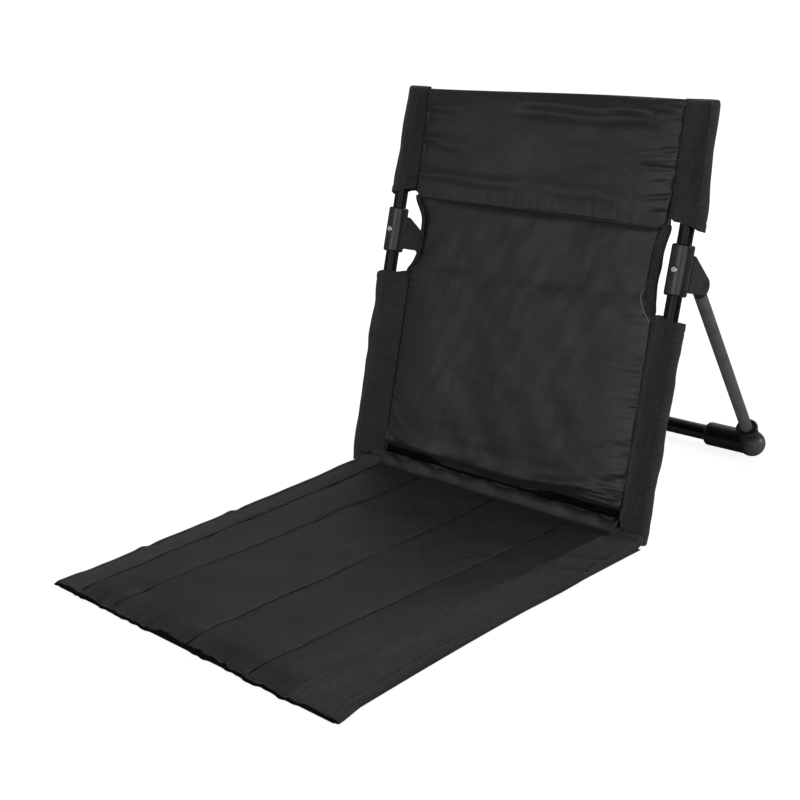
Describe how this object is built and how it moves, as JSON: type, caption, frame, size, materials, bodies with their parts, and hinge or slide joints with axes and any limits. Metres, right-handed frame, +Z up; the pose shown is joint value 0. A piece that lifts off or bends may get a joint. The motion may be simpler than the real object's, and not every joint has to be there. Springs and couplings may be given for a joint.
{
  "type": "folding lounge chair",
  "caption": "Legless folding lounge chair: cloth back on two poles with side notches, a hinged rear leg frame and a quilted seat mat that folds up.",
  "frame": {"origin": "centre of the bounding box's bottom face, on the ground", "axes": "+Z up; +Y points behind the chair, from the seat towards the rear legs; +X runs from the chair's left to its right, as seen by someone in front of it who looks along +Y"},
  "size_m": [0.423, 0.723, 0.4452],
  "materials": {
    "panel_cloth": "smooth dark grey polyester with a faint sheen",
    "oxford_cloth": "coarse dark grey woven cloth",
    "binding_tape": "dark woven tape",
    "underside_cloth": "coated black cloth",
    "black_tube": "glossy black powder coat",
    "grey_tube": "satin dark grey powder coat",
    "bracket_plastic": "moulded dark grey, slightly glossy",
    "black_plastic": "moulded black, satin",
    "screw_steel": "bright plated",
    "pin_steel": "blackened"
  },
  "bodies": {
    "back_frame": {"lower_pole_left": "black_tube", "lower_pole_right": "black_tube", "upper_pole_left": "black_tube", "upper_pole_right": "black_tube", "pole_cap_left": "black_plastic", "pole_cap_right": "black_plastic", "base_tube": "black_tube", "base_corner_left": "black_plastic", "base_corner_right": "black_plastic", "hinge_bracket_left": "bracket_plastic", "hinge_bracket_right": "bracket_plastic", "bracket_screws": "screw_steel", "pivot_pins": "pin_steel", "back_panel": "panel_cloth", "headrest_panel": "panel_cloth", "back_sleeve_left": "oxford_cloth", "back_sleeve_right": "oxford_cloth", "headrest_sleeve_left": "oxford_cloth", "headrest_sleeve_right": "oxford_cloth", "notch_binding_left": "binding_tape", "notch_binding_right": "binding_tape", "base_sleeve": "oxford_cloth"},
    "leg_frame": {"leg_tube_left": "grey_tube", "leg_tube_right": "grey_tube", "leg_knuckle_left": "black_plastic", "leg_knuckle_right": "black_plastic", "foot_elbow_left": "black_plastic", "foot_elbow_right": "black_plastic", "rear_cross_bar": "black_tube"},
    "seat_mat": {"seat_panel": "panel_cloth", "seat_border_left": "oxford_cloth", "seat_border_right": "oxford_cloth", "seat_front_hem": "binding_tape", "seat_underside": "underside_cloth"}
  },
  "joints": [
    {"name": "leg_fold", "type": "hinge", "parent": "back_frame", "child": "leg_frame", "pos_m": [0, 0.19273, 0.25064], "axis": [1, 0, 0], "range_deg": [-54, 0]},
    {"name": "seat_fold", "type": "hinge", "parent": "back_frame", "child": "seat_mat", "pos_m": [0, 0.05411, 0.017], "axis": [1, 0, 0], "range_deg": [-106, 0]}
  ]
}
